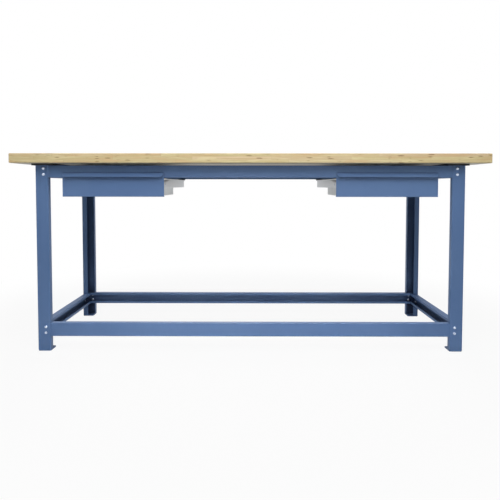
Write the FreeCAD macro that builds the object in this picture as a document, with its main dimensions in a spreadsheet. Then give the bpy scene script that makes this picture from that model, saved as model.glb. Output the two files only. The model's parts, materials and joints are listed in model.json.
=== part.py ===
import FreeCAD, Part
import Sketcher
import math
import os
from types import SimpleNamespace

# Workbench, millimetres. X runs along the bench, the front faces -Y, Z is up from the floor.
# Left and right are as seen from the front, so left is -X.

# Driving dimensions: name, value, what it is.
driving_sizes = [
    ("top_length", 2000, "worktop, left to right"),
    ("top_depth", 750, "worktop, front to back"),
    ("top_thickness", 40, "worktop thickness"),
    ("top_edge", 2.5, "bevel along all edges of the worktop"),
    ("bench_height", 844, "floor to working surface"),
    ("end_overhang", 90, "worktop beyond the legs, left and right"),
    ("front_overhang", 50, "worktop beyond the legs, front and rear"),
    ("bearer_thickness", 8, "strip between frame and worktop"),
    ("bearer_width", 90, "strip width"),
    ("bearer_reach", 17, "strip beyond the outer face of the legs"),
    ("foot_thickness", 5, "foot plate"),
    ("foot_corner", 4, "bevel of the foot plate's corners"),
    ("anchor_radius", 5.5, "floor anchor hole in each foot plate"),
    ("anchor_inset", 30, "anchor hole from both outer faces of the leg"),
    ("leg_sheet", 2.5, "leg sheet thickness"),
    ("leg_face", 54, "leg, front or rear face"),
    ("leg_side", 60, "leg, side web"),
    ("leg_return", 25, "leg, return at the inner edge of the face"),
    ("leg_lip", 25, "leg, lip at the far edge of the side web"),
    ("notch_room", 1, "room around a rail where it enters a leg"),
    ("rail_sheet", 2, "rail sheet thickness"),
    ("top_rail_height", 52, "web of the top rails"),
    ("lower_rail_height", 57, "web of the lower rails"),
    ("rail_flange", 30, "rail flange"),
    ("rail_lip", 12, "rail lip"),
    ("rail_inset", 17, "end of a long rail from the leg's outer face"),
    ("rail_gap", 2.5, "gap between a long rail and the end of a side rail"),
    ("lower_rail_bottom", 63, "underside of the lower rails above the floor"),
    ("drawer_inset", 115, "drawer front from the leg's outer face"),
    ("front_drop", 32, "top of the drawer front below the top of the frame"),
    ("front_width", 430, "drawer front"),
    ("front_height", 101, "drawer front"),
    ("front_sheet", 1.5, "drawer front sheet thickness"),
    ("front_gap", 2.5, "gap between the drawer front and the top rail behind it"),
    ("front_return", 6, "fold at the sides of the drawer front"),
    ("front_foot", 12, "fold at the bottom of the drawer front"),
    ("lip_drop", 17, "finger lip, height"),
    ("lip_reach", 20, "finger lip, forward of the back of the drawer front"),
    ("lip_land", 5, "flat top of the finger lip"),
    ("lip_mitre", 9, "slanted ends of the finger lip"),
    ("tray_depth", 450, "drawer tray"),
    ("tray_clearance", 7, "top of the tray below the top rails"),
    ("tray_sheet", 1.2, "tray sheet thickness"),
    ("tray_hem", 8, "hem along the top of the tray"),
    ("tray_tab", 15, "welding tabs at the front of the tray"),
    ("hanger_height", 40, "hanger channel"),
    ("hanger_flange", 28, "hanger channel"),
    ("hanger_hem", 7, "hem along the top of the hangers nearer the middle of the bench"),
    ("hanger_pad", 3.5, "pads between the hangers and the top rails"),
    ("hanger_sheet", 2, "hanger channel sheet thickness"),
    ("hanger_inset", 8, "end of a hanger from the leg's outer face"),
    ("hanger_room", 0.5, "gap between the hanger's flanges and the runner"),
    ("runner_sheet", 1.5, "runner sheet thickness"),
    ("runner_leg", 20, "runner, part against the tray"),
    ("runner_flange", 22, "runner, tread above the fixed roller"),
    ("runner_room", 0.8, "gap between the runner's lip and the hanger's top flange"),
    ("runner_inset", 5, "ends of a runner from the ends of the tray"),
    ("roller_radius", 10, "drawer rollers"),
    ("roller_width", 14, "drawer rollers"),
    ("roller_cap", 2, "closed end of a roller"),
    ("roller_gap", 4, "gap between a roller and the runner's leg"),
    ("roller_play", 2, "height of the roller's way beyond its diameter"),
    ("roller_room", 0.3, "gap between a roller and what it runs on, and at the pin's end"),
    ("fixed_roller_inset", 40, "fixed roller from the front of the legs"),
    ("tray_roller_inset", 15, "tray roller from the back of the tray"),
    ("pin_radius", 3, "roller pins"),
    ("pin_room", 0.05, "radial room of a pin in its roller; in the sheet it is pressed tight"),
]

doc = FreeCAD.newDocument("workbench")
sheet = doc.addObject("Spreadsheet::Sheet", "Sizes")
for row, (alias, value, note) in enumerate(driving_sizes, start=1):
    sheet.set(f"A{row}", alias)
    sheet.set(f"B{row}", str(value))
    sheet.set(f"C{row}", note)
    sheet.setAlias(f"B{row}", alias)
doc.recompute()


# A length that carries its value together with the expression that gives it.
class Size:
    def __init__(self, value, text):
        self.value = value
        self.text = text

    def __add__(self, other):
        other = as_size(other)
        return Size(self.value + other.value, f"({self.text} + {other.text})")

    def __sub__(self, other):
        other = as_size(other)
        return Size(self.value - other.value, f"({self.text} - {other.text})")

    def __mul__(self, other):
        other = as_size(other)
        return Size(self.value * other.value, f"({self.text} * {other.text})")

    def __truediv__(self, other):
        other = as_size(other)
        return Size(self.value / other.value, f"({self.text} / {other.text})")

    def __neg__(self):
        return Size(-self.value, f"(0 - {self.text})")


def as_size(number):
    return number if isinstance(number, Size) else Size(number, repr(number))


size = SimpleNamespace(**{
    alias: Size(float(sheet.get(alias)), f"Sizes.{alias}") for alias, _, _ in driving_sizes
})
zero = as_size(0)
margin = as_size(1)  # how far a cutter runs past the faces it cuts

# Planes of the frame: outer leg faces, and heights from the worktop down.
frame_width = size.top_length - size.end_overhang * 2
frame_depth = size.top_depth - size.front_overhang * 2
half_width = frame_width / 2
half_depth = frame_depth / 2
top_underside = size.bench_height - size.top_thickness
frame_top = top_underside - size.bearer_thickness
top_rail_bottom = frame_top - size.top_rail_height
lower_rail_top = size.lower_rail_bottom + size.lower_rail_height

# Planes of the drawers: x from the middle of a drawer outwards.
front_half = size.front_width / 2
drawer_x = half_width - size.drawer_inset - front_half
drawer_bottom = frame_top - size.front_drop - size.front_height
front_back_y = size.leg_sheet - half_depth - size.front_gap
tray_half = front_half - size.hanger_flange - size.hanger_room - size.runner_sheet
tray_bottom = drawer_bottom + size.front_sheet
tray_top = top_rail_bottom - size.tray_clearance
tray_height = tray_top - tray_bottom

# The rollers' way inside a hanger, from its floor up.
hanger_top = top_rail_bottom - size.hanger_pad
hanger_bottom = hanger_top - size.hanger_height
hanger_floor = hanger_bottom + size.hanger_sheet
hanger_ceiling = hanger_top - size.hanger_sheet
tread_underside = hanger_floor + size.roller_radius * 2 + size.roller_play
runner_tip = hanger_ceiling - size.runner_room
roller_x = tray_half + size.runner_sheet + size.roller_gap + size.roller_width / 2
fixed_roller_y = size.fixed_roller_inset - half_depth
fixed_roller_z = tread_underside - size.roller_room - size.roller_radius
tray_roller_y = front_back_y + size.tray_depth - size.tray_roller_inset
tray_roller_z = hanger_floor + size.roller_room + size.roller_radius
roller_bore = size.pin_radius + size.pin_room

sides = {"left": -1, "right": 1}
ends = {"front": -1, "rear": 1}
nodes = []


# Binding, placing and sketching helpers.
def bind(thing, **lengths):
    for name, length in lengths.items():
        thing.setExpression(name, as_size(length).text)


def place(thing, x, y, z):
    for axis, length in zip("xyz", (x, y, z)):
        thing.setExpression(f"Placement.Base.{axis}", as_size(length).text)


def keep(thing, label):
    thing.Label = label
    nodes.append(thing)
    return thing


def new_body(label, x, y, z):
    body = doc.addObject("PartDesign::Body", label)
    place(body, x, y, z)
    return keep(body, label)


def sketch_on(body, plane, name, rise=zero):
    sketch = body.newObject("Sketcher::SketchObject", name)
    support = [item for item in body.Origin.OriginFeatures if item.Role == plane][0]
    sketch.AttachmentSupport = [(support, "")]
    sketch.MapMode = "FlatFace"
    if rise is not zero:
        sketch.setExpression("AttachmentOffset.Base.z", rise.text)
    return sketch


def hold(sketch, index, point, u, v):
    for kind, axis, length in (("DistanceX", -2, u), ("DistanceY", -1, v)):
        if length.value == 0:
            sketch.addConstraint(Sketcher.Constraint("PointOnObject", index, point, axis))
        else:
            rule = Sketcher.Constraint(kind, -1, 1, index, point, length.value)
            number = sketch.addConstraint(rule)
            sketch.setExpression(f"Constraints[{number}]", length.text)


def draw_outline(sketch, corners):
    count = len(corners)
    points = [FreeCAD.Vector(u.value, v.value, 0) for u, v in corners]
    for i in range(count):
        sketch.addGeometry(Part.LineSegment(points[i], points[(i + 1) % count]))
    for i in range(count):
        sketch.addConstraint(Sketcher.Constraint("Coincident", i, 2, (i + 1) % count, 1))
    for i, (u, v) in enumerate(corners):
        hold(sketch, i, 1, u, v)


# Pads an outline drawn on one of the body's planes, evenly to both sides, up or backwards.
def pad_outline(body, plane, corners, length, both=True):
    sketch = sketch_on(body, plane, body.Label + "_outline")
    draw_outline(sketch, corners)
    pad = body.newObject("PartDesign::Pad", body.Label + "_pad")
    pad.Profile = sketch
    pad.SideType = "Symmetric" if both else "One side"
    pad.Reversed = not both and plane == "XZ_Plane"
    bind(pad, Length=length)
    doc.recompute()


# Edges of a padded outline that start from the given corners of its sketch.
def upright_edges(shape, plane, corners):
    u, v, along = {"XY_Plane": (0, 1, 2), "XZ_Plane": (0, 2, 1), "YZ_Plane": (1, 2, 0)}[plane]
    found = []
    for number, edge in enumerate(shape.Edges, start=1):
        run = edge.Vertexes[-1].Point - edge.Vertexes[0].Point
        middle = edge.CenterOfMass
        if abs(run[along]) < edge.Length / 2:
            continue
        if any(math.dist((middle[u], middle[v]), (a.value, b.value)) < 1e-4 for a, b in corners):
            found.append(f"Edge{number}")
    return found


# Sheet is folded sharp on the inside and one thickness round on the outside.
def fold(body, plane, corners, thickness):
    base = body.Tip
    edges = upright_edges(base.Shape, plane, corners)
    fillet = body.newObject("PartDesign::Fillet", body.Label + "_fold")
    fillet.Base = (base, edges)
    bind(fillet, Radius=thickness)
    doc.recompute()


def bevel(body, edges, length):
    base = body.Tip
    chamfer = body.newObject("PartDesign::Chamfer", body.Label + "_bevel")
    chamfer.Base = (base, edges)
    bind(chamfer, Size=length)
    doc.recompute()


# Cuts a round hole through the sheet that lies on a plane of the body.
def drill(body, plane, u, v, radius, depth):
    before = body.Shape.Volume
    sketch = sketch_on(body, plane, body.Label + "_hole")
    centre = FreeCAD.Vector(u.value, v.value, 0)
    index = sketch.addGeometry(Part.Circle(centre, FreeCAD.Vector(0, 0, 1), radius.value))
    hold(sketch, index, 3, u, v)
    number = sketch.addConstraint(Sketcher.Constraint("Radius", index, radius.value))
    sketch.setExpression(f"Constraints[{number}]", radius.text)
    pocket = body.newObject("PartDesign::Pocket", body.Label + "_drill")
    pocket.Profile = sketch
    pocket.SideType = "Symmetric"
    bind(pocket, Length=(depth + margin) * 2)
    doc.recompute()
    assert body.Shape.Volume < before - 1, body.Label + ": the hole missed the sheet"


def signed_span(low, high, sign):
    return (low, high - low) if sign > 0 else (-high, high - low)


# Adds or removes a box between two corners, mirrored by a sign in X and in Y.
def block(body, kind, low, high, sx=1, sy=1):
    box = body.newObject(f"PartDesign::{kind}Box", f"{body.Label}_{kind.lower()}")
    x, length = signed_span(low[0], high[0], sx)
    y, width = signed_span(low[1], high[1], sy)
    bind(box, Length=length, Width=width, Height=high[2] - low[2])
    place(box, x, y, low[2])
    doc.recompute()


def flip(corners, sign):
    return [(u * sign, v) for u, v in corners] if sign < 0 else corners


def make_worktop():
    body = new_body("worktop", 0, 0, top_underside)
    x, y = size.top_length / 2, size.top_depth / 2
    outline = [(-x, -y), (x, -y), (x, y), (-x, y)]
    pad_outline(body, "XY_Plane", outline, size.top_thickness, both=False)
    edges = [f"Edge{number + 1}" for number in range(len(body.Tip.Shape.Edges))]
    bevel(body, edges, size.top_edge)


# Strip on top of each side frame that carries the worktop.
def make_bearer(label, sx):
    body = new_body(label, half_width * sx, 0, frame_top)
    outer = size.bearer_reach * sx
    inner = (size.bearer_reach - size.bearer_width) * sx
    plan = [(inner, -half_depth), (outer, -half_depth), (outer, half_depth), (inner, half_depth)]
    pad_outline(body, "XY_Plane", plan, size.bearer_thickness, both=False)


# Folded leg: lip, side web, face and return, notched where the rails pass through.
def make_leg(label, sx, sy):
    body = new_body(label, half_width * -sx, half_depth * -sy, size.foot_thickness)
    wall, face, side = size.leg_sheet, size.leg_face, size.leg_side
    plan = [
        (size.leg_lip, side), (zero, side), (zero, zero), (face, zero), (face, size.leg_return),
        (face - wall, size.leg_return), (face - wall, wall), (wall, wall),
        (wall, side - wall), (size.leg_lip, side - wall),
    ]
    plan = [(u * sx, v * sy) for u, v in plan]
    pad_outline(body, "XY_Plane", plan, frame_top - size.foot_thickness, both=False)
    fold(body, "XY_Plane", plan[1:4], wall)
    room = size.notch_room
    for base, top in (
        (size.lower_rail_bottom - room, lower_rail_top + room),
        (top_rail_bottom - room, frame_top + margin),
    ):
        low_z = base - size.foot_thickness
        high_z = top - size.foot_thickness
        block(body, "Subtractive", (face - wall - room, wall, low_z),
              (face + margin, size.leg_return + margin, high_z), sx, sy)
        block(body, "Subtractive", (wall, side - wall - room, low_z),
              (size.leg_lip + margin, side + margin, high_z), sx, sy)


def make_foot(label, sx, sy):
    body = new_body(label, half_width * -sx, half_depth * -sy, 0)
    x, y = size.leg_face * sx, size.leg_side * sy
    plan = [(zero, zero), (x, zero), (x, y), (zero, y)]
    pad_outline(body, "XY_Plane", plan, size.foot_thickness, both=False)
    bevel(body, upright_edges(body.Tip.Shape, "XY_Plane", plan), size.foot_corner)
    drill(body, "XY_Plane", size.anchor_inset * sx, size.anchor_inset * sy, size.anchor_radius,
          size.foot_thickness)


# Lipped channel with its web on the outside. The sign points from the web to the lips.
def make_rail(label, plane, length, high, sign, x, y, z):
    body = new_body(label, x, y, z)
    wall, flange, lip = size.rail_sheet, size.rail_flange, size.rail_lip
    section = flip([
        (flange, lip), (flange, zero), (zero, zero), (zero, high), (flange, high),
        (flange, high - lip), (flange - wall, high - lip), (flange - wall, high - wall),
        (wall, high - wall), (wall, wall), (flange - wall, wall), (flange - wall, lip),
    ], sign)
    pad_outline(body, plane, section, length)
    fold(body, plane, section[1:5], wall)


def make_rails():
    long_rail = frame_width - size.rail_inset * 2
    side_start = size.leg_sheet + size.rail_flange + size.rail_gap
    side_rail = frame_depth - side_start * 2
    for level, z, high in (
        ("top", top_rail_bottom, size.top_rail_height),
        ("lower", size.lower_rail_bottom, size.lower_rail_height),
    ):
        for end, sy in ends.items():
            y = (half_depth - size.leg_sheet) * sy
            make_rail(f"{level}_rail_{end}", "YZ_Plane", long_rail, high, -sy, 0, y, z)
        for side, sx in sides.items():
            x = (half_width - size.leg_sheet) * sx
            make_rail(f"{level}_rail_{side}", "XZ_Plane", side_rail, high, -sx, x, 0, z)


# Hanger channel under the top rails. The sign points from its web to the drawer, the hem away.
def make_hanger(label, x, sign, hem):
    body = new_body(label, x, 0, hanger_bottom)
    wall, high, flange = size.hanger_sheet, size.hanger_height, size.hanger_flange
    corner = [(zero, high)]
    if hem is not zero:
        corner = [(zero, high - wall * 2), (-hem, high - wall * 2), (-hem, high)]
    section = flip([
        (flange, zero), (zero, zero), *corner, (flange, high), (flange, high - wall),
        (wall, high - wall), (wall, wall), (flange, wall),
    ], sign)
    pad_outline(body, "XZ_Plane", section, frame_depth - size.hanger_inset * 2)
    if hem is zero:
        fold(body, "XZ_Plane", section[1:3], wall)
    else:
        fold(body, "XZ_Plane", section[1:2], wall)
        fold(body, "XZ_Plane", section[3:5], wall * 0.9)
    drill(body, "YZ_Plane", fixed_roller_y, fixed_roller_z - hanger_bottom, size.pin_radius, wall)


# Pad between a hanger and the flange of the front or rear top rail.
def make_pad(label, x, sign, hem, sy):
    pad = doc.addObject("Part::Box", label)
    low, width = signed_span(-hem, size.hanger_flange, sign)
    length = size.leg_sheet + size.rail_flange - size.hanger_inset
    start, _ = signed_span(half_depth - size.hanger_inset - length, half_depth - size.hanger_inset, sy)
    bind(pad, Length=width, Width=length, Height=size.hanger_pad)
    place(pad, x + low, start, hanger_top)
    return pad


# Drawer front: one sheet folded back at the bottom and forward into a finger lip at the top.
def make_front(label, x):
    body = new_body(label, x, front_back_y, drawer_bottom)
    wall, high = size.front_sheet, size.front_height
    low = high - size.lip_drop
    slope = (size.lip_reach - size.lip_land) * (size.lip_drop - wall) / size.lip_drop
    section = [
        (size.front_foot, zero), (-wall, zero), (-wall, high - wall),
        (wall - size.lip_reach + slope, high - wall), (wall - size.lip_reach, low),
        (-size.lip_reach, low), (-size.lip_land, high), (zero, high), (zero, wall),
        (size.front_foot, wall),
    ]
    pad_outline(body, "YZ_Plane", section, size.front_width)
    fold(body, "YZ_Plane", [section[1], section[6], section[7]], wall)
    for side in (-1, 1):
        sketch = sketch_on(body, "XZ_Plane", label + "_mitre", wall * 1.2)
        draw_outline(sketch, [
            ((front_half + margin) * side, low - margin),
            ((front_half - size.lip_mitre) * side, low - margin),
            ((front_half - size.lip_mitre) * side, low),
            ((front_half + margin) * side, high - wall * 2),
        ])
        cut = body.newObject("PartDesign::Pocket", label + "_mitre_cut")
        cut.Profile = sketch
        cut.Reversed = True
        bind(cut, Length=size.lip_reach)
        doc.recompute()
        block(body, "Additive", (front_half - wall, zero, wall),
              (front_half, size.front_return, tray_top - drawer_bottom), side)


# Tray: bottom and sides from one sheet with hems, and tabs that are welded to the front.
def make_tray(label, x):
    body = new_body(label, x, front_back_y, tray_bottom)
    wall, high, half = size.tray_sheet, tray_height, tray_half
    hem = half - size.tray_hem
    section = [
        (-hem, high), (-half, high), (-half, zero), (half, zero), (half, high), (hem, high),
        (hem, high - wall), (half - wall, high - wall), (half - wall, wall), (wall - half, wall),
        (wall - half, high - wall), (-hem, high - wall),
    ]
    pad_outline(body, "XZ_Plane", section, size.tray_depth, both=False)
    fold(body, "XZ_Plane", section[1:5], wall)
    for side in (-1, 1):
        block(body, "Additive", (half - wall - size.tray_tab, zero, wall * 3),
              (half - wall, wall, high - wall * 3), side)


# Back wall between the tray's sides, with a hem folded forward between theirs.
def make_tray_back(label, x):
    body = new_body(label, x, front_back_y + size.tray_depth - size.tray_sheet, tray_bottom)
    wall, high = size.tray_sheet, tray_height
    inner = tray_half - wall
    hem = inner - size.tray_hem
    section = [
        (wall - size.tray_hem, high), (wall, high), (wall, wall), (zero, wall),
        (zero, high - wall), (wall - size.tray_hem, high - wall),
    ]
    pad_outline(body, "YZ_Plane", section, hem * 2)
    for side in (-1, 1):
        block(body, "Additive", (hem, zero, wall), (inner, wall, high - wall), side)


# Runner on the tray's side: leg against the tray, tread over the fixed roller, lip on top.
def make_runner(label, x, sign):
    leg_bottom = tread_underside - size.runner_leg
    body = new_body(label, x, front_back_y + size.runner_inset, leg_bottom)
    wall, tread, reach = size.runner_sheet, size.runner_leg, size.runner_flange
    tip = runner_tip - leg_bottom
    section = flip([
        (zero, zero), (wall, zero), (wall, tread), (reach, tread), (reach, tip),
        (reach - wall, tip), (reach - wall, tread + wall), (zero, tread + wall),
    ], sign)
    length = size.tray_depth - size.runner_inset * 2
    pad_outline(body, "XZ_Plane", section, length, both=False)
    fold(body, "XZ_Plane", [section[3], section[7]], wall)
    drill(body, "YZ_Plane", tray_roller_y - front_back_y - size.runner_inset,
          tray_roller_z - leg_bottom, size.pin_radius, wall)


# Roller with a blind bore, turned about the X axis. The sign points to its closed end.
def make_roller(label, x, y, z, sign):
    body = new_body(label, x, y, z)
    half, rim = size.roller_width / 2, size.roller_radius
    bottom = half - size.roller_cap
    sketch = sketch_on(body, "XZ_Plane", label + "_outline")
    draw_outline(sketch, flip([
        (-half, roller_bore), (-half, rim), (half, rim), (half, zero), (bottom, zero),
        (bottom, roller_bore),
    ], sign))
    turned = body.newObject("PartDesign::Revolution", label + "_turned")
    turned.Profile = sketch
    turned.ReferenceAxis = (sketch, ["H_Axis"])
    doc.recompute()


# Plain pin along X that starts at x and runs the way the sign points.
def make_pin(label, length, x, y, z, sign):
    pin = doc.addObject("Part::Cylinder", label)
    turn = FreeCAD.Rotation(FreeCAD.Vector(0, 1, 0), 90 * sign)
    pin.Placement = FreeCAD.Placement(FreeCAD.Vector(), turn)
    bind(pin, Radius=size.pin_radius, Height=length)
    place(pin, x, y, z)
    return pin


# Small pieces of one drawer that sit on the same body, as one node.
def make_set(label, pieces):
    group = doc.addObject("Part::Compound", label)
    group.Links = pieces
    keep(group, label)


def make_drawer(side, sx):
    middle = drawer_x * sx
    make_front(f"drawer_front_{side}", middle)
    make_tray(f"drawer_tray_{side}", middle)
    make_tray_back(f"drawer_back_{side}", middle)
    grip = size.roller_width / 2 - size.roller_cap - size.roller_room
    fixed_length = front_half - roller_x + grip
    tray_length = roller_x - tray_half + grip
    fixed_pins, tray_pins, pads = [], [], []
    for edge, sign in (("outer", sx), ("inner", -sx)):
        name = f"{side}_{edge}"
        web_x = middle + front_half * sign
        leg_x = middle + tray_half * sign
        wheel_x = middle + roller_x * sign
        hem = size.hanger_hem if edge == "inner" else zero
        make_hanger(f"hanger_{name}", web_x, -sign, hem)
        for end, sy in ends.items():
            pads.append(make_pad(f"hanger_pad_{name}_{end}", web_x, -sign, hem, sy))
        make_runner(f"runner_{name}", leg_x, sign)
        make_roller(f"fixed_roller_{name}", wheel_x, fixed_roller_y, fixed_roller_z, -sign)
        make_roller(f"tray_roller_{name}", wheel_x, tray_roller_y, tray_roller_z, sign)
        fixed_pins.append(make_pin(f"fixed_pin_{name}", fixed_length, web_x, fixed_roller_y,
                                   fixed_roller_z, -sign))
        tray_pins.append(make_pin(f"tray_pin_{name}", tray_length, leg_x, tray_roller_y,
                                  tray_roller_z, sign))
    make_set(f"fixed_pins_{side}", fixed_pins)
    make_set(f"tray_pins_{side}", tray_pins)
    make_set(f"hanger_pads_{side}", pads)


make_worktop()
make_rails()
for side, sx in sides.items():
    make_bearer(f"bearer_{side}", sx)
    for end, sy in ends.items():
        make_leg(f"leg_{end}_{side}", -sx, -sy)
        make_foot(f"foot_{end}_{side}", -sx, -sy)
    make_drawer(side, sx)
doc.recompute()

# Nothing is written unless every object built cleanly.
for thing in doc.Objects:
    bad = [word for word in thing.State if word in ("Invalid", "Error")]
    assert not bad, f"{thing.Label}: {thing.State}"
for node in nodes:
    assert not node.Shape.isNull() and node.Shape.isValid(), node.Label
    assert node.Shape.Solids, node.Label + " has no solid"

os.makedirs("parts", exist_ok=True)
for node in nodes:
    node.Shape.exportStep(f"parts/{node.Label}.step")
    print(f"{node.Label}: {len(node.Shape.Solids)} solids, {node.Shape.Volume / 1000:.1f} cm3")
print(len(nodes), "nodes written")
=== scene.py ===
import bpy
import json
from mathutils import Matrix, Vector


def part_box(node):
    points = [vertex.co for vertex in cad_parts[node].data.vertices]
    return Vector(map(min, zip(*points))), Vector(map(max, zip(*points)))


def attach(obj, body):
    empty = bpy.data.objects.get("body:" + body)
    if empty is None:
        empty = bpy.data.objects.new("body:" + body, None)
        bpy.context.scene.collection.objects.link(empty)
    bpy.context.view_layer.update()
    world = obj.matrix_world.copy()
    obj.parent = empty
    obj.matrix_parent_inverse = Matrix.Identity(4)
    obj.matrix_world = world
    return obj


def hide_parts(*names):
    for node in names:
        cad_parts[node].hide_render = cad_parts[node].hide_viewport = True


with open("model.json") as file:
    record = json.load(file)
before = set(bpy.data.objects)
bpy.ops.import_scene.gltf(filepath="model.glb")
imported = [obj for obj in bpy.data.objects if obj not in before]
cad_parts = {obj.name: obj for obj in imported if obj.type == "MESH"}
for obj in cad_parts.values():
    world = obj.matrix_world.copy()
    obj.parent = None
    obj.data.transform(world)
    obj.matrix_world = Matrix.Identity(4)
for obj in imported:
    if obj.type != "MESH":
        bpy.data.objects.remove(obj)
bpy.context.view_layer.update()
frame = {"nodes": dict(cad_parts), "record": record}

import json
import math
import bpy
from mathutils import Matrix, Vector

nodes = frame["nodes"]
scene = bpy.context.scene
scene.view_settings.view_transform = "Standard"
sides = {"left": -1, "right": 1}  # which way along X
ends = {"front": -1, "rear": 1}  # which way along Y
edges = ("outer", "inner")  # outer is the edge of a drawer nearer the legs
print("frame loaded:", len(nodes), "nodes")


# node helpers
def startMaterial(name):
    material = bpy.data.materials.new(name)
    material.use_nodes = True
    tree = material.node_tree
    return material, tree, tree.nodes["Principled BSDF"]


def feed(tree, value, socket):
    if isinstance(value, bpy.types.NodeSocket):
        tree.links.new(value, socket)
    else:
        socket.default_value = value


def addNode(tree, kind, inputs=None, **settings):
    node = tree.nodes.new(kind)
    for key, value in settings.items():
        setattr(node, key, value)
    for key, value in (inputs or {}).items():
        feed(tree, value, node.inputs[key])
    return node


def calc(tree, operation, first, second=0.0):
    return addNode(tree, "ShaderNodeMath", {0: first, 1: second}, operation=operation).outputs[0]


def times(tree, first, second):
    return calc(tree, "MULTIPLY", first, second)


def plus(tree, first, second):
    return calc(tree, "ADD", first, second)


# moves a value from one band to another, with soft ends
def spread(tree, value, low, high, newLow=0.0, newHigh=1.0):
    inputs = {0: value, 1: low, 2: high, 3: newLow, 4: newHigh}
    return addNode(tree, "ShaderNodeMapRange", inputs, interpolation_type="SMOOTHSTEP").outputs[0]


def mixColour(tree, amount, first, second):
    inputs = {0: amount, 6: first, 7: second}
    return addNode(tree, "ShaderNodeMix", inputs, data_type="RGBA").outputs[2]


# lays a tone over a colour where the value is in its band
def tint(tree, value, band, colour, tone):
    return mixColour(tree, spread(tree, value, *band), colour, tone)


def ramp(tree, value, stops):
    node = addNode(tree, "ShaderNodeValToRGB", {0: value})
    while len(node.color_ramp.elements) < len(stops):
        node.color_ramp.elements.new(0.5)
    for element, (place, colour) in zip(node.color_ramp.elements, stops):
        element.position = place
        element.color = colour
    return node.outputs[0]


def vectorMath(tree, operation, first, second=(0, 0, 0)):
    return addNode(tree, "ShaderNodeVectorMath", {0: first, 1: second}, operation=operation).outputs


def vectorFrom(tree, x, y, z):
    return addNode(tree, "ShaderNodeCombineXYZ", {0: x, 1: y, 2: z}).outputs[0]


def vectorParts(tree, vector):
    return addNode(tree, "ShaderNodeSeparateXYZ", {0: vector}).outputs


def colourParts(tree, colour):
    return addNode(tree, "ShaderNodeSeparateColor", {0: colour}).outputs


def position(tree):
    return addNode(tree, "ShaderNodeTexCoord").outputs["Object"]


def surfaceNormal(tree):
    return addNode(tree, "ShaderNodeNewGeometry").outputs["Normal"]


def stretched(tree, vector, scale, offset=(0, 0, 0)):
    scaled = vectorMath(tree, "MULTIPLY", vector, scale)[0]
    return vectorMath(tree, "ADD", scaled, offset)[0]


def noise(tree, vector, scale, detail=2.0, roughness=0.5):
    inputs = {"Vector": vector, "Scale": scale, "Detail": detail, "Roughness": roughness}
    return addNode(tree, "ShaderNodeTexNoise", inputs).outputs[0]


# noise drawn out along the axes: stretch, detail, roughness
def grain(tree, vector, setting, offset=(0, 0, 0)):
    stretch, detail, roughness = setting
    return noise(tree, stretched(tree, vector, stretch, offset), 1.0, detail, roughness)


def cellPattern(tree, vector, stretch, scale=1.0):
    inputs = {"Vector": stretched(tree, vector, stretch), "Scale": scale}
    return addNode(tree, "ShaderNodeTexVoronoi", inputs).outputs


def randomFor(tree, x, y, z):
    inputs = {"Vector": vectorFrom(tree, x, y, z)}
    return addNode(tree, "ShaderNodeTexWhiteNoise", inputs, noise_dimensions="3D").outputs


# 1 in the open, less where other surfaces stand within reach
def openness(tree, reach):
    return addNode(tree, "ShaderNodeAmbientOcclusion", {"Distance": reach}, samples=8).outputs["AO"]


# how near the surface is to an edge: 0 on flats, 1 on the very edge
def edgeMask(tree, radius, low, high):
    rounded = addNode(tree, "ShaderNodeBevel", {"Radius": radius}, samples=4).outputs[0]
    along = vectorMath(tree, "DOT_PRODUCT", rounded, surfaceNormal(tree))["Value"]
    return spread(tree, along, high, low)


def paint(tree, shader, colour, roughness):
    tree.links.new(colour, shader.inputs["Base Color"])
    tree.links.new(roughness, shader.inputs["Roughness"])


def bump(tree, shader, height, strength, distance):
    inputs = {"Height": height, "Strength": strength, "Distance": distance}
    tree.links.new(addNode(tree, "ShaderNodeBump", inputs).outputs[0], shader.inputs["Normal"])


def srgb(red, green, blue):
    def linear(level):
        level = level / 255
        return level / 12.92 if level <= 0.04045 else ((level + 0.055) / 1.055) ** 2.4
    return (linear(red), linear(green), linear(blue), 1.0)


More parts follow.
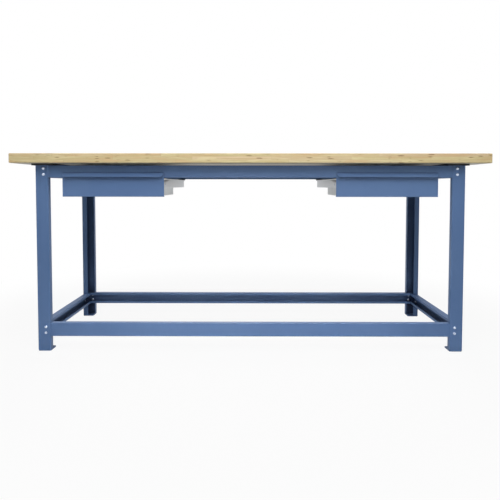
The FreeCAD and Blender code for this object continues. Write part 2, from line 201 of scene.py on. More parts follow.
# timber: glued staves, each with its own tone and grain
# a band gives two values and the strength at each of them
timber = {
    "stripWidth": 0.047,
    "layerHeight": 0.0138,
    "layerStart": -0.0005,  # the lowest layer begins just under the board
    "staveLength": (0.217, 0.465),
    "staveShift": 9.0,
    "rowSeed": 3.7,
    "grainShift": (7, 11, 13),
    "tones": [
        srgb(217, 200, 157),
        srgb(211, 197, 148),
        srgb(217, 194, 158),
        srgb(206, 191, 144),
        srgb(221, 206, 166),
    ],
    "lateWood": srgb(184, 156, 106),
    "rosy": srgb(208, 176, 132),
    "pale": srgb(222, 208, 162),
    "knot": srgb(126, 88, 46),
    "glueLine": srgb(158, 130, 88),
    # painted shade: the grey laid on faces pointing down
    "underShadeGrey": srgb(180, 176, 166),
    # painted shade: the dark laid in the gap over the frame
    "gapShadow": srgb(44, 40, 36),
    "waver": ((2.2, 14, 14), 3.0, 0.55),
    "ringSlant": 3.0,
    "ringWaver": 0.03,
    "ringWidth": 0.0052,
    "ringBand": (0.35, 0.95, 0.0, 0.3),
    "streaks": ((5, 210, 210), 4.0, 0.6),
    "streakBand": (0.42, 0.78, 0.0, 0.42),
    "pores": ((60, 1500, 1500), 2.0, 0.6),
    "poreBand": (0.56, 0.8, 0.0, 0.22),
    "mottle": ((9, 45, 60), 2.0, 0.5),
    "rosyBand": (0.5, 0.66, 0.0, 0.6),
    "paleBand": (0.32, 0.46, 0.6, 0.0),
    "fleckCells": (24, 150, 150),
    "fleckSize": (0.48, 1.0, 0.0, 0.46),
    "fleckRough": ((110, 420, 420), 3.0, 0.6),
    "fleckRagged": 0.3,
    "fleckBand": (-0.08, 0.14, 1.0, 0.0),
    "fleckUpwards": (0.5, 0.9, 0.7, 0.32),  # fainter on the top
    "stripGlue": 0.009,
    "layerGlue": 0.03,
    "layerGlueShare": 0.45,
    "staveGlue": 0.0016,
    "glueShare": 0.6,
    "endBand": (0.5, 0.8),
    "endDarkness": 0.28,
    "endRings": 5.0,
    "endRingBand": (0.3, 0.95, 0.0, 0.5),
    "underBand": (-0.9, -0.6, 0.8, 0.0),
    "gapReach": 0.03,
    "gapBand": (0.25, 0.65, 0.85, 0.0),
    "darkEdge": (0.004, 0.86, 0.998),
    "edgePatches": ((9, 30, 30), 3.0, 0.5),
    "edgePatchBand": (0.35, 0.7, 0.08, 0.35),
    "roughBand": (0.3, 0.75, 0.42, 0.6),
    "specular": 0.35,
    "streakRelief": 0.6,
    "glueRelief": 0.5,
    "poreRelief": 0.25,
    "bump": (0.35, 0.0004),
}


def makeTimber():
    material, tree, shader = startMaterial("laminatedTimber")
    place = position(tree)
    x, y, z = vectorParts(tree, place)
    facing = vectorParts(tree, surfaceNormal(tree))

    # the strip, layer and stave that a point is in
    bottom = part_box("worktop")[0].z + timber["layerStart"]
    acrossRow = calc(tree, "DIVIDE", y, timber["stripWidth"])
    upRow = calc(tree, "DIVIDE", calc(tree, "SUBTRACT", z, bottom), timber["layerHeight"])
    strip = calc(tree, "FLOOR", acrossRow)
    layer = calc(tree, "FLOOR", upRow)
    rowParts = colourParts(tree, randomFor(tree, strip, layer, timber["rowSeed"])["Color"])
    length = spread(tree, rowParts[0], 0.0, 1.0, *timber["staveLength"])
    shift = times(tree, rowParts[1], timber["staveShift"])
    along = plus(tree, calc(tree, "DIVIDE", x, length), shift)
    stave = calc(tree, "FLOOR", along)
    staveRandom = randomFor(tree, stave, strip, layer)
    staveParts = colourParts(tree, staveRandom["Color"])
    offset = vectorMath(tree, "MULTIPLY", staveRandom["Color"], timber["grainShift"])[0]

    tones = timber["tones"]
    stops = [((i + 0.5) / len(tones), tone) for i, tone in enumerate(tones)]
    colour = ramp(tree, staveRandom["Value"], stops)

    # growth rings, cut at a different slant in every stave
    waver = grain(tree, place, timber["waver"], offset)
    slant = times(tree, staveParts[2], timber["ringSlant"])
    upright = times(tree, z, calc(tree, "COSINE", slant))
    sideways = times(tree, y, calc(tree, "SINE", slant))
    depth = plus(tree, upright, sideways)
    depth = plus(tree, depth, times(tree, waver, timber["ringWaver"]))
    ring = calc(tree, "FRACT", calc(tree, "DIVIDE", depth, timber["ringWidth"]))
    streaks = grain(tree, place, timber["streaks"], offset)
    pores = grain(tree, place, timber["pores"], offset)
    colour = tint(tree, ring, timber["ringBand"], colour, timber["lateWood"])
    colour = tint(tree, streaks, timber["streakBand"], colour, timber["lateWood"])
    colour = tint(tree, pores, timber["poreBand"], colour, timber["knot"])

    # rosy and pale patches that run along the staves
    mottle = grain(tree, place, timber["mottle"], offset)
    colour = tint(tree, mottle, timber["rosyBand"], colour, timber["rosy"])
    colour = tint(tree, mottle, timber["paleBand"], colour, timber["pale"])

    # short brown flecks, drawn out along the grain
    cells = cellPattern(tree, place, timber["fleckCells"])
    size = spread(tree, colourParts(tree, cells["Color"])[0], *timber["fleckSize"])
    ragged = times(tree, grain(tree, place, timber["fleckRough"]), timber["fleckRagged"])
    reach = plus(tree, cells["Distance"], ragged)
    fleck = spread(tree, calc(tree, "SUBTRACT", reach, size), *timber["fleckBand"])
    strength = spread(tree, facing[2], *timber["fleckUpwards"])
    colour = mixColour(tree, times(tree, fleck, strength), colour, timber["knot"])

    # glue lines between strips, layers and stave ends
    def glueLine(row, width):
        return spread(tree, calc(tree, "PINGPONG", row, 0.5), 0.0, width, 1.0, 0.0)
    layerGlue = times(tree, glueLine(upRow, timber["layerGlue"]), timber["layerGlueShare"])
    glue = calc(tree, "MAXIMUM", glueLine(acrossRow, timber["stripGlue"]), layerGlue)
    glue = calc(tree, "MAXIMUM", glue, glueLine(along, timber["staveGlue"]))
    colour = mixColour(tree, times(tree, glue, timber["glueShare"]), colour, timber["glueLine"])

    # sawn ends: rings seen end-on, darker and thirstier
    heart = plus(tree, upRow, staveParts[0])
    curve = vectorFrom(tree, 0.0, calc(tree, "PINGPONG", acrossRow, 0.5), heart)
    radius = vectorMath(tree, "LENGTH", curve)["Value"]
    endRing = calc(tree, "FRACT", times(tree, radius, timber["endRings"]))
    endColour = mixColour(tree, timber["endDarkness"], colour, timber["lateWood"])
    endColour = tint(tree, endRing, timber["endRingBand"], endColour, timber["knot"])
    colour = tint(tree, calc(tree, "ABSOLUTE", facing[0]), timber["endBand"], colour, endColour)

    # painted shade: faces pointing down are turned a cooler grey, as the underside looks in shade
    colour = tint(tree, facing[2], timber["underBand"], colour, timber["underShadeGrey"])
    # painted shade: the gap over the frame is painted dark where other surfaces stand within reach
    inGap = openness(tree, timber["gapReach"])
    colour = tint(tree, inGap, timber["gapBand"], colour, timber["gapShadow"])

    # the wood is darker in patches close to its edges
    nearEdge = edgeMask(tree, *timber["darkEdge"])
    edgePatches = spread(tree, grain(tree, place, timber["edgePatches"]), *timber["edgePatchBand"])
    colour = mixColour(tree, times(tree, nearEdge, edgePatches), colour, timber["lateWood"])

    paint(tree, shader, colour, spread(tree, streaks, *timber["roughBand"]))
    shader.inputs["Specular IOR Level"].default_value = timber["specular"]
    raised = times(tree, streaks, timber["streakRelief"])
    sunkGlue = times(tree, glue, timber["glueRelief"])
    sunkPores = times(tree, pores, timber["poreRelief"])
    height = calc(tree, "SUBTRACT", raised, plus(tree, sunkGlue, sunkPores))
    bump(tree, shader, height, *timber["bump"])
    return material


# painted and plated steel; clouds, specks and the like are noise scale, detail, roughness
powderCoat = {
    "blue": srgb(88, 117, 160),
    "deep": srgb(82, 111, 155),
    # pale tone for specks and for edges; on the edges it is partly rubbed wear, partly a painted
    # highlight
    "paleSpeckWearAndHighlight": srgb(112, 138, 174),
    # painted shade: the dark laid inside the folds
    "foldShade": srgb(14, 22, 54),
    "cloud": (3.5, 3.0),
    "cloudBand": (0.3, 0.7),
    "speck": (1800, 1.0),
    "speckBand": (0.62, 0.8, 0.0, 0.25),
    "hollowReach": 0.07,
    "hollowBand": (0.22, 0.6, 0.85, 0.0),
    "edgeWearAndHighlight": (0.0018, 0.8, 0.99),
    "patch": (28, 3.0, 0.6),
    "patchBand": (0.4, 0.65, 0.1, 0.6),
    "roughBand": (0.25, 0.75, 0.45, 0.57),
    "specular": 0.36,
    "peel": (650, 2.0),
    "bump": (0.12, 0.0003),
}


def makePowderCoat():
    material, tree, shader = startMaterial("bluePowderCoat")
    place = position(tree)
    cloud = noise(tree, place, *powderCoat["cloud"])
    colour = tint(tree, cloud, powderCoat["cloudBand"], powderCoat["blue"], powderCoat["deep"])
    speck = noise(tree, place, *powderCoat["speck"])
    colour = tint(tree, speck, powderCoat["speckBand"], colour, powderCoat["paleSpeckWearAndHighlight"])
    # painted shade: the inside of the folds is painted dark where other surfaces stand near
    inFold = openness(tree, powderCoat["hollowReach"])
    colour = tint(tree, inFold, powderCoat["hollowBand"], colour, powderCoat["foldShade"])
    # the edges are painted paler in patches, partly rubbed wear and partly a painted highlight on
    # the bends
    edge = edgeMask(tree, *powderCoat["edgeWearAndHighlight"])
    patch = spread(tree, noise(tree, place, *powderCoat["patch"]), *powderCoat["patchBand"])
    colour = mixColour(tree, times(tree, edge, patch), colour, powderCoat["paleSpeckWearAndHighlight"])
    paint(tree, shader, colour, spread(tree, cloud, *powderCoat["roughBand"]))
    shader.inputs["Specular IOR Level"].default_value = powderCoat["specular"]
    bump(tree, shader, noise(tree, place, *powderCoat["peel"]), *powderCoat["bump"])
    return material


greyPaint = {
    "light": srgb(202, 206, 206),
    "shade": srgb(190, 194, 195),
    "scuff": srgb(140, 144, 148),
    "cloud": (6.0, 3.0),
    "cloudBand": (0.3, 0.7),
    "rub": ((30, 4, 30), 3.0, 0.6),
    "rubBand": (0.6, 0.8, 0.0, 0.2),
    "roughBand": (0.25, 0.75, 0.35, 0.5),
    "metallic": 0.45,
    "peel": (700, 2.0),
    "bump": (0.1, 0.0003),
}


def makeGreyPaint():
    material, tree, shader = startMaterial("lightGreyPaint")
    place = position(tree)
    cloud = noise(tree, place, *greyPaint["cloud"])
    colour = tint(tree, cloud, greyPaint["cloudBand"], greyPaint["light"], greyPaint["shade"])
    rub = grain(tree, place, greyPaint["rub"])
    colour = tint(tree, rub, greyPaint["rubBand"], colour, greyPaint["scuff"])
    paint(tree, shader, colour, spread(tree, cloud, *greyPaint["roughBand"]))
    shader.inputs["Metallic"].default_value = greyPaint["metallic"]
    bump(tree, shader, noise(tree, place, *greyPaint["peel"]), *greyPaint["bump"])
    return material


galvanised = {
    "bright": srgb(196, 198, 200),
    "dull": srgb(180, 183, 186),
    # painted shadow under the hem of the hangers
    "hangerShadow": srgb(62, 60, 62),
    "spangle": 85,
    "spangleStretch": (1, 0.8, 1),
    "spangleShare": 0.7,
    "warp": (60, 2.0),
    "warpShare": 0.3,
    "hem": 0.004,
    "hangerShadowReach": 0.23,
    "hangerShadowDrop": 0.019,
    "hangerShadowBand": (0.0, 0.7, 0.0, 0.8),
    "roughBand": (0.0, 1.0, 0.34, 0.5),
    "metallic": 0.85,
    "dimples": (240, 2.0),
    "bump": (0.08, 0.0003),
}


def makeGalvanised():
    material, tree, shader = startMaterial("galvanisedSteel")
    place = position(tree)
    warp = times(tree, noise(tree, place, *galvanised["warp"]), galvanised["warpShare"])
    cells = cellPattern(tree, place, galvanised["spangleStretch"], galvanised["spangle"])
    spangle = times(tree, colourParts(tree, cells["Color"])[0], galvanised["spangleShare"])
    tone = plus(tree, spangle, warp)
    colour = mixColour(tree, tone, galvanised["dull"], galvanised["bright"])

    # painted shadow on the hangers under the hem, darkest at the front end and fading towards the
    # rear
    low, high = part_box("hanger_left_inner")
    hemEdge = high.z - galvanised["hem"]
    y, z = vectorParts(tree, place)[1:]
    fade = spread(tree, y, low.y, low.y + galvanised["hangerShadowReach"], 1.0, 0.0)
    drop = calc(tree, "DIVIDE", calc(tree, "SUBTRACT", hemEdge, z), galvanised["hangerShadowDrop"])
    hangerShadow = spread(tree, calc(tree, "SUBTRACT", fade, drop), *galvanised["hangerShadowBand"])
    hangerShadow = times(tree, hangerShadow, calc(tree, "LESS_THAN", z, hemEdge))
    colour = mixColour(tree, hangerShadow, colour, galvanised["hangerShadow"])
    paint(tree, shader, colour, spread(tree, tone, *galvanised["roughBand"]))
    shader.inputs["Metallic"].default_value = galvanised["metallic"]
    bump(tree, shader, noise(tree, place, *galvanised["dimples"]), *galvanised["bump"])
    return material


zincPlate = {
    "silver": srgb(205, 215, 232),
    "tarnish": srgb(188, 200, 218),
    "stain": (160, 3.0),
    "stainBand": (0.3, 0.7),
    "roughBand": (0.3, 0.7, 0.2, 0.34),
    "metallic": 0.85,
    "pits": (900, 2.0),
    "bump": (0.06, 0.0002),
}


def makeZincPlate():
    material, tree, shader = startMaterial("brightZincPlate")
    place = position(tree)
    stain = noise(tree, place, *zincPlate["stain"])
    colour = tint(tree, stain, zincPlate["stainBand"], zincPlate["silver"], zincPlate["tarnish"])
    paint(tree, shader, colour, spread(tree, stain, *zincPlate["roughBand"]))
    shader.inputs["Metallic"].default_value = zincPlate["metallic"]
    bump(tree, shader, noise(tree, place, *zincPlate["pits"]), *zincPlate["bump"])
    return material


blackPaint = {
    "black": srgb(18, 18, 19),
    "dusty": srgb(40, 40, 41),
    "dust": (40, 4.0, 0.65),
    "dustBand": (0.4, 0.75),
    "roughBand": (0.3, 0.7, 0.55, 0.75),
    "grit": (500, 3.0),
    "bump": (0.15, 0.0003),
}


def makeBlackPaint():
    material, tree, shader = startMaterial("mattBlackPaint")
    place = position(tree)
    dust = noise(tree, place, *blackPaint["dust"])
    colour = tint(tree, dust, blackPaint["dustBand"], blackPaint["black"], blackPaint["dusty"])
    paint(tree, shader, colour, spread(tree, dust, *blackPaint["roughBand"]))
    bump(tree, shader, noise(tree, place, *blackPaint["grit"]), *blackPaint["bump"])
    return material


nylon = {
    "white": srgb(226, 223, 214),
    "yellowed": srgb(206, 203, 192),
    "cloud": (90, 3.0),
    "roughBand": (0.3, 0.7, 0.38, 0.5),
    "subsurface": 0.15,
    "subsurfaceRadius": (0.002, 0.0018, 0.0015),
    "skin": (1200, 2.0),
    "bump": (0.08, 0.0002),
}


def makeNylon():
    material, tree, shader = startMaterial("mouldedNylon")
    place = position(tree)
    cloud = noise(tree, place, *nylon["cloud"])
    colour = mixColour(tree, cloud, nylon["white"], nylon["yellowed"])
    paint(tree, shader, colour, spread(tree, cloud, *nylon["roughBand"]))
    shader.inputs["Subsurface Weight"].default_value = nylon["subsurface"]
    shader.inputs["Subsurface Radius"].default_value = nylon["subsurfaceRadius"]
    bump(tree, shader, noise(tree, place, *nylon["skin"]), *nylon["bump"])
    return material


finishes = {
    "timber": makeTimber(),
    "blue_powder_coat": makePowderCoat(),
    "black_paint": makeBlackPaint(),
    "grey_paint": makeGreyPaint(),
    "galvanised_steel": makeGalvanised(),
    "zinc_plate": makeZincPlate(),
    "nylon": makeNylon(),
}

slotOf = {part["node"]: part["material_slot"] for part in frame["record"]["subparts"]}
for name, node in nodes.items():
    node.data.materials.clear()
    node.data.materials.append(finishes[slotOf[name]])
print("finishes made:", ", ".join(finishes))


# mesh helpers: a shape is a list of points and a list of faces
def newShape():
    return {"points": [], "faces": []}


def addTo(shape, points, faces, matrix):
    start = len(shape["points"])
    shape["points"] += [matrix @ Vector(point) for point in points]
    shape["faces"] += [[start + i for i in face] for face in faces]


def circle(radius, height, steps):
    angles = [2 * math.pi * i / steps for i in range(steps)]
    return [(radius * math.cos(angle), radius * math.sin(angle), height) for angle in angles]


# turns a line of (radius, height) pairs about Z
def turned(profile, steps):
    points, faces, rings = [], [], []
    for radius, height in profile:
        if radius < 1e-7:  # a point on the axis
            rings.append([len(points)] * steps)
            points.append((0, 0, height))
        else:
            rings.append(list(range(len(points), len(points) + steps)))
            points += circle(radius, height, steps)
    for lower, upper in zip(rings, rings[1:]):
        for i in range(steps):
            j = (i + 1) % steps
            face = []
            for corner in (lower[i], lower[j], upper[j], upper[i]):
                if corner not in face:
                    face.append(corner)
            if len(face) > 2:
                faces.append(face)
    return points, faces


# turns local +Z to a direction
def facingAlong(direction, place):
    turn = Vector((0, 0, 1)).rotation_difference(Vector(direction))
    return Matrix.Translation(place) @ turn.to_matrix().to_4x4()


def buildPiece(name, shape, body, slotName, sharpAngle=35):
    mesh = bpy.data.meshes.new(name)
    mesh.from_pydata([tuple(point) for point in shape["points"]], [], shape["faces"])
    mesh.validate()
    for face in mesh.polygons:
        face.use_smooth = True
    mesh.set_sharp_from_angle(angle=math.radians(sharpAngle))
    mesh.materials.append(finishes[slotName])
    piece = bpy.data.objects.new(name, mesh)
    scene.collection.objects.link(piece)
    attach(piece, body)
    return piece


# which way an edge of a drawer faces along X, and where its front ends there
def drawerEdge(side, edge):
    outward = sides[side] if edge == "outer" else -sides[side]
    low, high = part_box(f"drawer_front_{side}")
    return outward, high.x if outward > 0 else low.x


# bolts, nuts and screws
hexBolts = {
    "width": 0.010,  # across flats
    "roundedTo": 0.93,
    "cornerDrop": 0.6,
    "steps": 24,
    "head": 0.004,
    "washerRadius": 0.0056,
    "washer": 0.0012,
    "washerEdge": 0.0003,
    "washerSteps": 28,
    "thread": 0.003,
    "threadRoot": 0.00246,
    "threadPitch": 0.001,
    "threadSteps": 20,
    "nut": 0.005,
    "nutRecess": 0.0005,
    "beyondNut": 0.003,
    "pairPitch": 0.025,
    "fromEdge": 0.035,
    "fromFace": 0.0475,
    "railSheet": 0.002,
    "legSheet": 0.0025,
}


# corners are rounded off at the top, and at the bottom too for a nut
def hexagon(low, high, roundBottom):
    flat, steps = hexBolts["width"] / 2, hexBolts["steps"]
    drop = (hexBolts["width"] / math.sqrt(3) - flat) * hexBolts["cornerDrop"]
    levels = [(low, True), (low + drop, False)] if roundBottom else [(low, False)]
    levels += [(high - drop, False), (high, True)]
    points, faces = [], []
    for level, isRound in levels:
        for i in range(steps):
            angle = 2 * math.pi * i / steps
            inSector = (angle + math.pi / 6) % (math.pi / 3) - math.pi / 6
            reach = flat / math.cos(math.pi / 6 - abs(inSector))
            if isRound:
                reach = flat * hexBolts["roundedTo"]
            points.append((reach * math.cos(angle), reach * math.sin(angle), level))
    last = len(levels) - 1
    for k in range(last):
        for i in range(steps):
            j = (i + 1) % steps
            faces.append([k * steps + i, k * steps + j, (k + 1) * steps + j, (k + 1) * steps + i])
    faces.append(list(reversed(range(steps))))
    faces.append([last * steps + i for i in range(steps)])
    return points, faces


# washer and bolt head
def addHead(shape, matrix):
    radius, thick, edge = hexBolts["washerRadius"], hexBolts["washer"], hexBolts["washerEdge"]
    profile = [(0, 0), (radius - edge, 0), (radius, edge)]
    profile += [(radius, thick - edge), (radius - edge, thick), (0, thick)]
    addTo(shape, *turned(profile, hexBolts["washerSteps"]), matrix)
    addTo(shape, *hexagon(thick, thick + hexBolts["head"], False), matrix)


# nut and the thread that stands out of it
def addNut(shape, matrix):
    top = hexBolts["nut"]
    addTo(shape, *hexagon(0, top, True), matrix)
    root, crest, pitch = hexBolts["threadRoot"], hexBolts["thread"], hexBolts["threadPitch"]
    profile = [(root, top - hexBolts["nutRecess"])]
    level = top
    while level < top + hexBolts["beyondNut"] - pitch:
        profile += [(root, level), (crest, level + pitch / 2)]
        level += pitch
    profile += [(root, level), (0, level)]
    addTo(shape, *turned(profile, hexBolts["threadSteps"]), matrix)


def jointHeights():
    heights = []
    for level in ("lower", "top"):
        low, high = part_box(f"{level}_rail_front")
        middle = (low.z + high.z) / 2
        heights += [middle - hexBolts["pairPitch"] / 2, middle + hexBolts["pairPitch"] / 2]
    return heights


# pairs of bolts through the legs into the rails, from the face and from the side
def makeJointBolts():
    stack = hexBolts["legSheet"] + hexBolts["railSheet"]
    for side, sx in sides.items():
        for end, sy in ends.items():
            low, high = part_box(f"leg_{end}_{side}")
            faceX = low.x if sx < 0 else high.x
            faceY = low.y if sy < 0 else high.y
            shape = newShape()
            for z in jointHeights():
                onFace = Vector((faceX - sx * hexBolts["fromEdge"], faceY, z))
                onSide = Vector((faceX, faceY - sy * hexBolts["fromFace"], z))
                for place, outward in ((onFace, Vector((0, sy, 0))), (onSide, Vector((sx, 0, 0)))):
                    addHead(shape, facingAlong(outward, place))
                    addNut(shape, facingAlong(-outward, place - outward * stack))
            buildPiece(f"joint_bolts_{end}_{side}", shape, "frame", "zinc_plate")


hangerBolts = {"fromEnd": 0.012, "fromWeb": 0.018, "sheet": 0.002}


# bolts up through the hangers and their pads, nuts inside the top rails
def makeHangerBolts():
    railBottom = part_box("top_rail_front")[0].z
    for side in sides:
        shape = newShape()
        for edge in edges:
            outward, webX = drawerEdge(side, edge)
            low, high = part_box(f"hanger_{side}_{edge}")
            x = webX - outward * hangerBolts["fromWeb"]
            for y in (low.y + hangerBolts["fromEnd"], high.y - hangerBolts["fromEnd"]):
                under = Vector((x, y, high.z - hangerBolts["sheet"]))
                inside = Vector((x, y, railBottom + hexBolts["railSheet"]))
                addHead(shape, facingAlong((0, 0, -1), under))
                addNut(shape, facingAlong((0, 0, 1), inside))
        buildPiece(f"hanger_bolts_{side}", shape, "frame", "zinc_plate")


topScrews = {
    "headRadius": 0.005,
    "head": 0.0026,
    "domePower": 3,
    "slotWidth": 0.0011,
    "slotDepth": 0.0012,
    "slotReach": 0.0031,
    "rings": 10,
    "steps": 48,
    "fromInnerEdge": 0.015,
    "pitch": 0.24,
    "nutsFromMiddle": 0.18,
}


# pan head with a cross slot, drawn as a dome with four sunk arms
def addScrewHead(shape, matrix):
    radius, tall, sunk = topScrews["headRadius"], topScrews["head"], topScrews["slotDepth"]
    rings, steps = topScrews["rings"], topScrews["steps"]
    points = [(0, 0, tall - sunk)]
    for k in range(1, rings + 1):
        share = k / rings
        dome = tall * math.sqrt(1 - share ** topScrews["domePower"])
        for px, py, z in circle(radius * share, dome, steps):
            inArm = min(abs(px), abs(py)) < topScrews["slotWidth"] / 2
            if inArm and radius * share < topScrews["slotReach"]:
                z -= sunk
            points.append((px, py, z))
    faces = [[0, 1 + i, 1 + (i + 1) % steps] for i in range(steps)]
    for k in range(rings - 1):
        for i in range(steps):
            here, after = 1 + k * steps + i, 1 + k * steps + (i + 1) % steps
            faces.append([here, here + steps, after + steps, after])
    addTo(shape, points, faces, matrix)


# screws up through the bearers, and the nuts that hold the bearers to the side rails
def makeTopScrews():
    down = (0, 0, -1)
    for side, sx in sides.items():
        low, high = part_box(f"bearer_{side}")
        x = (high.x if sx < 0 else low.x) + sx * topScrews["fromInnerEdge"]
        shape = newShape()
        for step in (-1, 0, 1):
            addScrewHead(shape, facingAlong(down, Vector((x, step * topScrews["pitch"], low.z))))
        railLow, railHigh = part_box(f"top_rail_{side}")
        railX = (railLow.x + railHigh.x) / 2
        underFlange = railHigh.z - hexBolts["railSheet"]
        for y in (-topScrews["nutsFromMiddle"], topScrews["nutsFromMiddle"]):
            addNut(shape, facingAlong(down, Vector((railX, y, underFlange))))
        buildPiece(f"worktop_screws_{side}", shape, "frame", "zinc_plate")


makeJointBolts()
makeHangerBolts()
makeTopScrews()
print("bolts, nuts and screws placed")


# weld beads where the legs stand on their foot plates
footWeld = {
    "radius": 0.0022,
    "ripple": 0.0022,
    "swell": 0.18,
    "taper": 6,
    "thinnest": 0.15,
    "step": 0.0011,
    "arc": 6,
    "sheet": 0.0025,
    "fromFold": 0.006,
}


def addBead(shape, start, finish, sideways):
    run = finish - start
    count = max(2, int(run.length / footWeld["step"]))
    arc = footWeld["arc"]
    taper, thinnest = footWeld["taper"], footWeld["thinnest"]
    points, faces = [], []
    for k in range(count + 1):
        t = k / count
        wave = math.sin(2 * math.pi * run.length * t / footWeld["ripple"])
        thinned = min(1.0, taper * t + thinnest, taper * (1 - t) + thinnest)
        radius = footWeld["radius"] * (1 + footWeld["swell"] * wave) * thinned
        for i in range(arc + 1):
            angle = math.pi / 2 * i / arc
            up = Vector((0, 0, radius * math.sin(angle)))
            points.append(start + run * t + sideways * (radius * math.cos(angle)) + up)
    for k in range(count):
        for i in range(arc):
            corner = k * (arc + 1) + i
            faces.append([corner, corner + 1, corner + arc + 2, corner + arc + 1])
    addTo(shape, points, faces, Matrix.Identity(4))


# inside each leg, one bead along its side web and one along its face
def makeFootWelds():
    wall, room = footWeld["sheet"], footWeld["fromFold"]
    for side, sx in sides.items():
        for end, sy in ends.items():
            low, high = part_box(f"leg_{end}_{side}")
            outerX, innerX = (low.x, high.x) if sx < 0 else (high.x, low.x)
            faceY, backY = (low.y, high.y) if sy < 0 else (high.y, low.y)
            insideX, insideY = outerX - sx * wall, faceY - sy * wall
            shape = newShape()
            webStart = Vector((insideX, backY + sy * (wall + room), low.z))
            webEnd = Vector((insideX, insideY - sy * room, low.z))
            addBead(shape, webStart, webEnd, Vector((-sx, 0, 0)))
            faceStart = Vector((insideX - sx * room, insideY, low.z))
            faceEnd = Vector((innerX + sx * (wall + room), insideY, low.z))
            addBead(shape, faceStart, faceEnd, Vector((0, -sy, 0)))
            name = f"foot_welds_{end}_{side}"
            buildPiece(name, shape, "frame", "blue_powder_coat", sharpAngle=80)


makeFootWelds()
print("weld beads laid")


# drawer gear: moulded rollers, rivet heads and spot welds
rollers = {
    "steps": 56,
    "bore": 0.00305,
    "cap": 0.002,
    "hub": 0.0049,
    "hubEdge": 0.0003,
    "web": 0.0079,
    "recess": 0.0008,
    "chamfer": 0.0004,
    "edge": 0.0011,
    "edgeTurn": 0.3,
    "crown": 0.006,
    "gate": (0.0012, 0.0008),  # dimple left by the mould, wide at its rim and at its floor
}


def makeRoller(name, towards):
    low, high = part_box(name)
    half, rim = (high.x - low.x) / 2, (high.z - low.z) / 2
    bore, hub, web, recess = rollers["bore"], rollers["hub"], rollers["web"], rollers["recess"]
    chamfer, hubEdge, edge = rollers["chamfer"], rollers["hubEdge"], rollers["edge"]
    turn, side = edge * rollers["edgeTurn"], rim - rim * rollers["crown"]
    gateRim, gateFloor = rollers["gate"]
    capInside = half - rollers["cap"]
    profile = [
        (0, capInside), (bore, capInside), (bore, chamfer - half), (bore + chamfer, -half),
        (hub - hubEdge, -half), (hub, hubEdge - half), (hub, recess - half), (web, recess - half),
        (web + chamfer, -half), (rim - edge, -half), (rim - turn, turn - half), (side, edge - half),
        (rim, 0), (side, half - edge), (rim - turn, half - turn), (rim - edge, half),
        (web + chamfer, half), (web, half - recess), (hub, half - recess), (hub - hubEdge, half),
        (gateRim, half), (gateFloor, half - chamfer), (0, half - chamfer),
    ]
    shape = newShape()
    matrix = facingAlong((towards, 0, 0), (low + high) / 2)
    addTo(shape, *turned(profile, rollers["steps"]), matrix)
    piece = buildPiece(name + "_moulded", shape, name, "nylon")
    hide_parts(name)


pinRivets = {"radius": 0.0052, "height": 0.0016, "rings": 8, "steps": 28}


def addRivet(shape, matrix):
    radius, tall, rings = pinRivets["radius"], pinRivets["height"], pinRivets["rings"]
    angles = [math.pi / 2 * i / rings for i in range(rings)]
    profile = [(radius * math.cos(angle), tall * math.sin(angle)) for angle in angles]
    addTo(shape, *turned(profile + [(0, tall)], pinRivets["steps"]), matrix)


spotWelds = {
    "radius": 0.0030,
    "height": 0.00025,
    "outline": ((1, 0), (0.86, 1), (0.6, 0.4), (0, 0.2)),  # shares of radius and height
    "steps": 20,
    "count": 6,
    "sheet": 0.0012,
    "aboveRunner": 0.010,
}


# a shallow ring with a sunk middle
def addSpotWeld(shape, matrix):
    radius, tall = spotWelds["radius"], spotWelds["height"]
    profile = [(radius * across, tall * up) for across, up in spotWelds["outline"]]
    addTo(shape, *turned(profile, spotWelds["steps"]), matrix)


def makeDrawerGear():
    for side in sides:
        trayLow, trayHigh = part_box(f"drawer_tray_{side}")
        rivets, welds = newShape(), newShape()
        for edge in edges:
            outward, webX = drawerEdge(side, edge)
            makeRoller(f"fixed_roller_{side}_{edge}", -outward)
            makeRoller(f"tray_roller_{side}_{edge}", outward)
            low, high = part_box(f"fixed_roller_{side}_{edge}")
            pinEnd = Vector((webX, (low.y + high.y) / 2, (low.z + high.z) / 2))
            addRivet(rivets, facingAlong((outward, 0, 0), pinEnd))
            wallX = (trayHigh.x if outward > 0 else trayLow.x) - outward * spotWelds["sheet"]
            low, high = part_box(f"runner_{side}_{edge}")
            for i in range(spotWelds["count"]):
                y = low.y + (high.y - low.y) * (i + 0.5) / spotWelds["count"]
                spot = Vector((wallX, y, low.z + spotWelds["aboveRunner"]))
                addSpotWeld(welds, facingAlong((-outward, 0, 0), spot))
        buildPiece(f"roller_rivets_{side}", rivets, "frame", "zinc_plate")
        buildPiece(f"spot_welds_{side}", welds, f"drawer_{side}", "grey_paint", sharpAngle=60)


makeDrawerGear()
print("drawer gear fitted")


# floor, light and camera
stage = {
    "floorSize": 30.0,
    "floorLevel": -0.0005,
    "floorColour": (0.6, 0.6, 0.6, 1.0),
    "shadowShare": 0.08,
    "shadowReach": (1.1, 2.2),
}
white = (1, 1, 1, 1)


# the eye and mirrors see plain white, while light still falls as shaded
def whiteForView(tree):
    rays = addNode(tree, "ShaderNodeLightPath").outputs
    mirrored = calc(tree, "MAXIMUM", rays["Is Glossy Ray"], rays["Is Transmission Ray"])
    return calc(tree, "MAXIMUM", rays["Is Camera Ray"], mirrored)


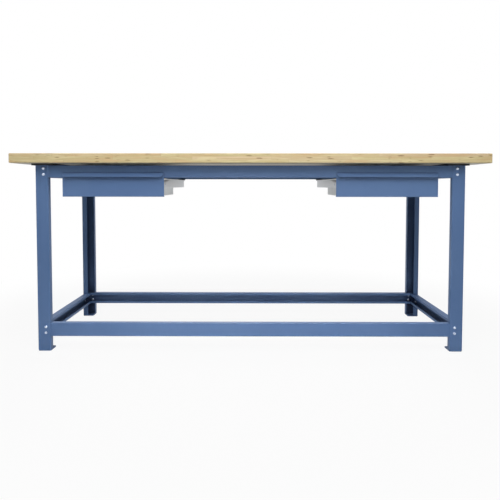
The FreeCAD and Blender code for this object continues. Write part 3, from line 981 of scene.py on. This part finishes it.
def paleStage():
    mesh = bpy.data.meshes.new("studio_floor")
    reach, level = stage["floorSize"] / 2, stage["floorLevel"]
    corners = [(x * reach, y * reach, level) for x, y in ((-1, -1), (1, -1), (1, 1), (-1, 1))]
    mesh.from_pydata(corners, [], [(0, 1, 2, 3)])
    floor = bpy.data.objects.new("studio_floor", mesh)
    scene.collection.objects.link(floor)
    material = bpy.data.materials.new("paleFloor")
    material.use_nodes = True
    tree = material.node_tree
    tree.nodes.clear()
    diffuse = addNode(tree, "ShaderNodeBsdfDiffuse", {"Color": stage["floorColour"]}).outputs[0]
    glow = addNode(tree, "ShaderNodeEmission", {"Color": white, "Strength": 1.0}).outputs[0]
    # the shadow shows near the bench and fades into white
    away = vectorMath(tree, "LENGTH", position(tree))["Value"]
    whiteness = spread(tree, away, *stage["shadowReach"], 1 - stage["shadowShare"], 1.0)
    share = times(tree, whiteForView(tree), whiteness)
    mixed = addNode(tree, "ShaderNodeMixShader", {0: share, 1: diffuse, 2: glow}).outputs[0]
    tree.links.new(mixed, addNode(tree, "ShaderNodeOutputMaterial").inputs[0])
    mesh.materials.append(material)


studio = {"ambient": 0.05, "backdrop": 1.0}


def studioWorld():
    world = bpy.data.worlds.new("studio")
    scene.world = world
    world.use_nodes = True
    tree = world.node_tree
    tree.nodes.clear()
    dim = {"Color": white, "Strength": studio["ambient"]}
    full = {"Color": white, "Strength": studio["backdrop"]}
    lit = addNode(tree, "ShaderNodeBackground", dim).outputs[0]
    seen = addNode(tree, "ShaderNodeBackground", full).outputs[0]
    share = whiteForView(tree)
    mixed = addNode(tree, "ShaderNodeMixShader", {0: share, 1: lit, 2: seen}).outputs[0]
    tree.links.new(mixed, addNode(tree, "ShaderNodeOutputWorld").inputs[0])


softboxes = {
    "overhead": {
        "place": (0, -1.9, 2.6), "aim": (0, -0.33, 0.42),
        "size": (2.4, 2.2), "watts": 77, "spread": 180,
    },
    "low_strip": {
        "place": (0, -2.5, 0.55), "aim": (0, -0.32, 0.02),
        "size": (1.5, 0.2), "watts": 1.0, "spread": 24,
    },
    "drawer_strip": {
        "place": (0, -2.6, 1.0), "aim": (0, -0.33, 0.74),
        "size": (1.9, 0.2), "watts": 0.25, "spread": 20,
    },
    "left": {
        "place": (-3.2, 0, 1.5), "aim": (0, 0, 0.4),
        "size": (2.0, 1.6), "watts": 14, "spread": 180,
    },
    "right": {
        "place": (3.2, 0, 1.5), "aim": (0, 0, 0.4),
        "size": (2.0, 1.6), "watts": 14, "spread": 180,
    },
    "rear": {
        "place": (0, 3.0, 2.3), "aim": (0, 0.3, 0.4),
        "size": (2.4, 1.4), "watts": 45, "spread": 180,
    },
}


def addSoftbox(name, values):
    lamp = bpy.data.lights.new(name, "AREA")
    lamp.shape = "RECTANGLE"
    lamp.size, lamp.size_y = values["size"]
    lamp.energy = values["watts"]
    lamp.spread = math.radians(values["spread"])
    lampObject = bpy.data.objects.new(name, lamp)
    scene.collection.objects.link(lampObject)
    lampObject.location = values["place"]
    aim = Vector(values["aim"]) - Vector(values["place"])
    lampObject.rotation_euler = aim.to_track_quat("-Z", "Y").to_euler()


# fitted to the photo: in front, at the height of the drawers, looking down a little
cameraSetup = {
    "lens": 36.92,
    "sensor": 36.0,
    "shiftY": -0.0848,
    "place": (0.0095, -2.4987, 0.7140),
    "pitch": 0.0444,
    "yaw": 0.0044,
    "roll": 0.0008,
}


def placeCamera():
    lens = bpy.data.cameras.new("front_camera")
    lens.sensor_width = cameraSetup["sensor"]
    lens.lens = cameraSetup["lens"]
    lens.shift_y = cameraSetup["shiftY"]
    camera = bpy.data.objects.new("front_camera", lens)
    scene.collection.objects.link(camera)
    yaw = Matrix.Rotation(cameraSetup["yaw"], 4, "Z")
    pitch = Matrix.Rotation(math.pi / 2 - cameraSetup["pitch"], 4, "X")
    roll = Matrix.Rotation(cameraSetup["roll"], 4, "Z")
    camera.matrix_world = Matrix.Translation(cameraSetup["place"]) @ yaw @ pitch @ roll
    scene.camera = camera


paleStage()
studioWorld()
for name, values in softboxes.items():
    addSoftbox(name + "_softbox", values)
placeCamera()
print("stage, light and camera set")
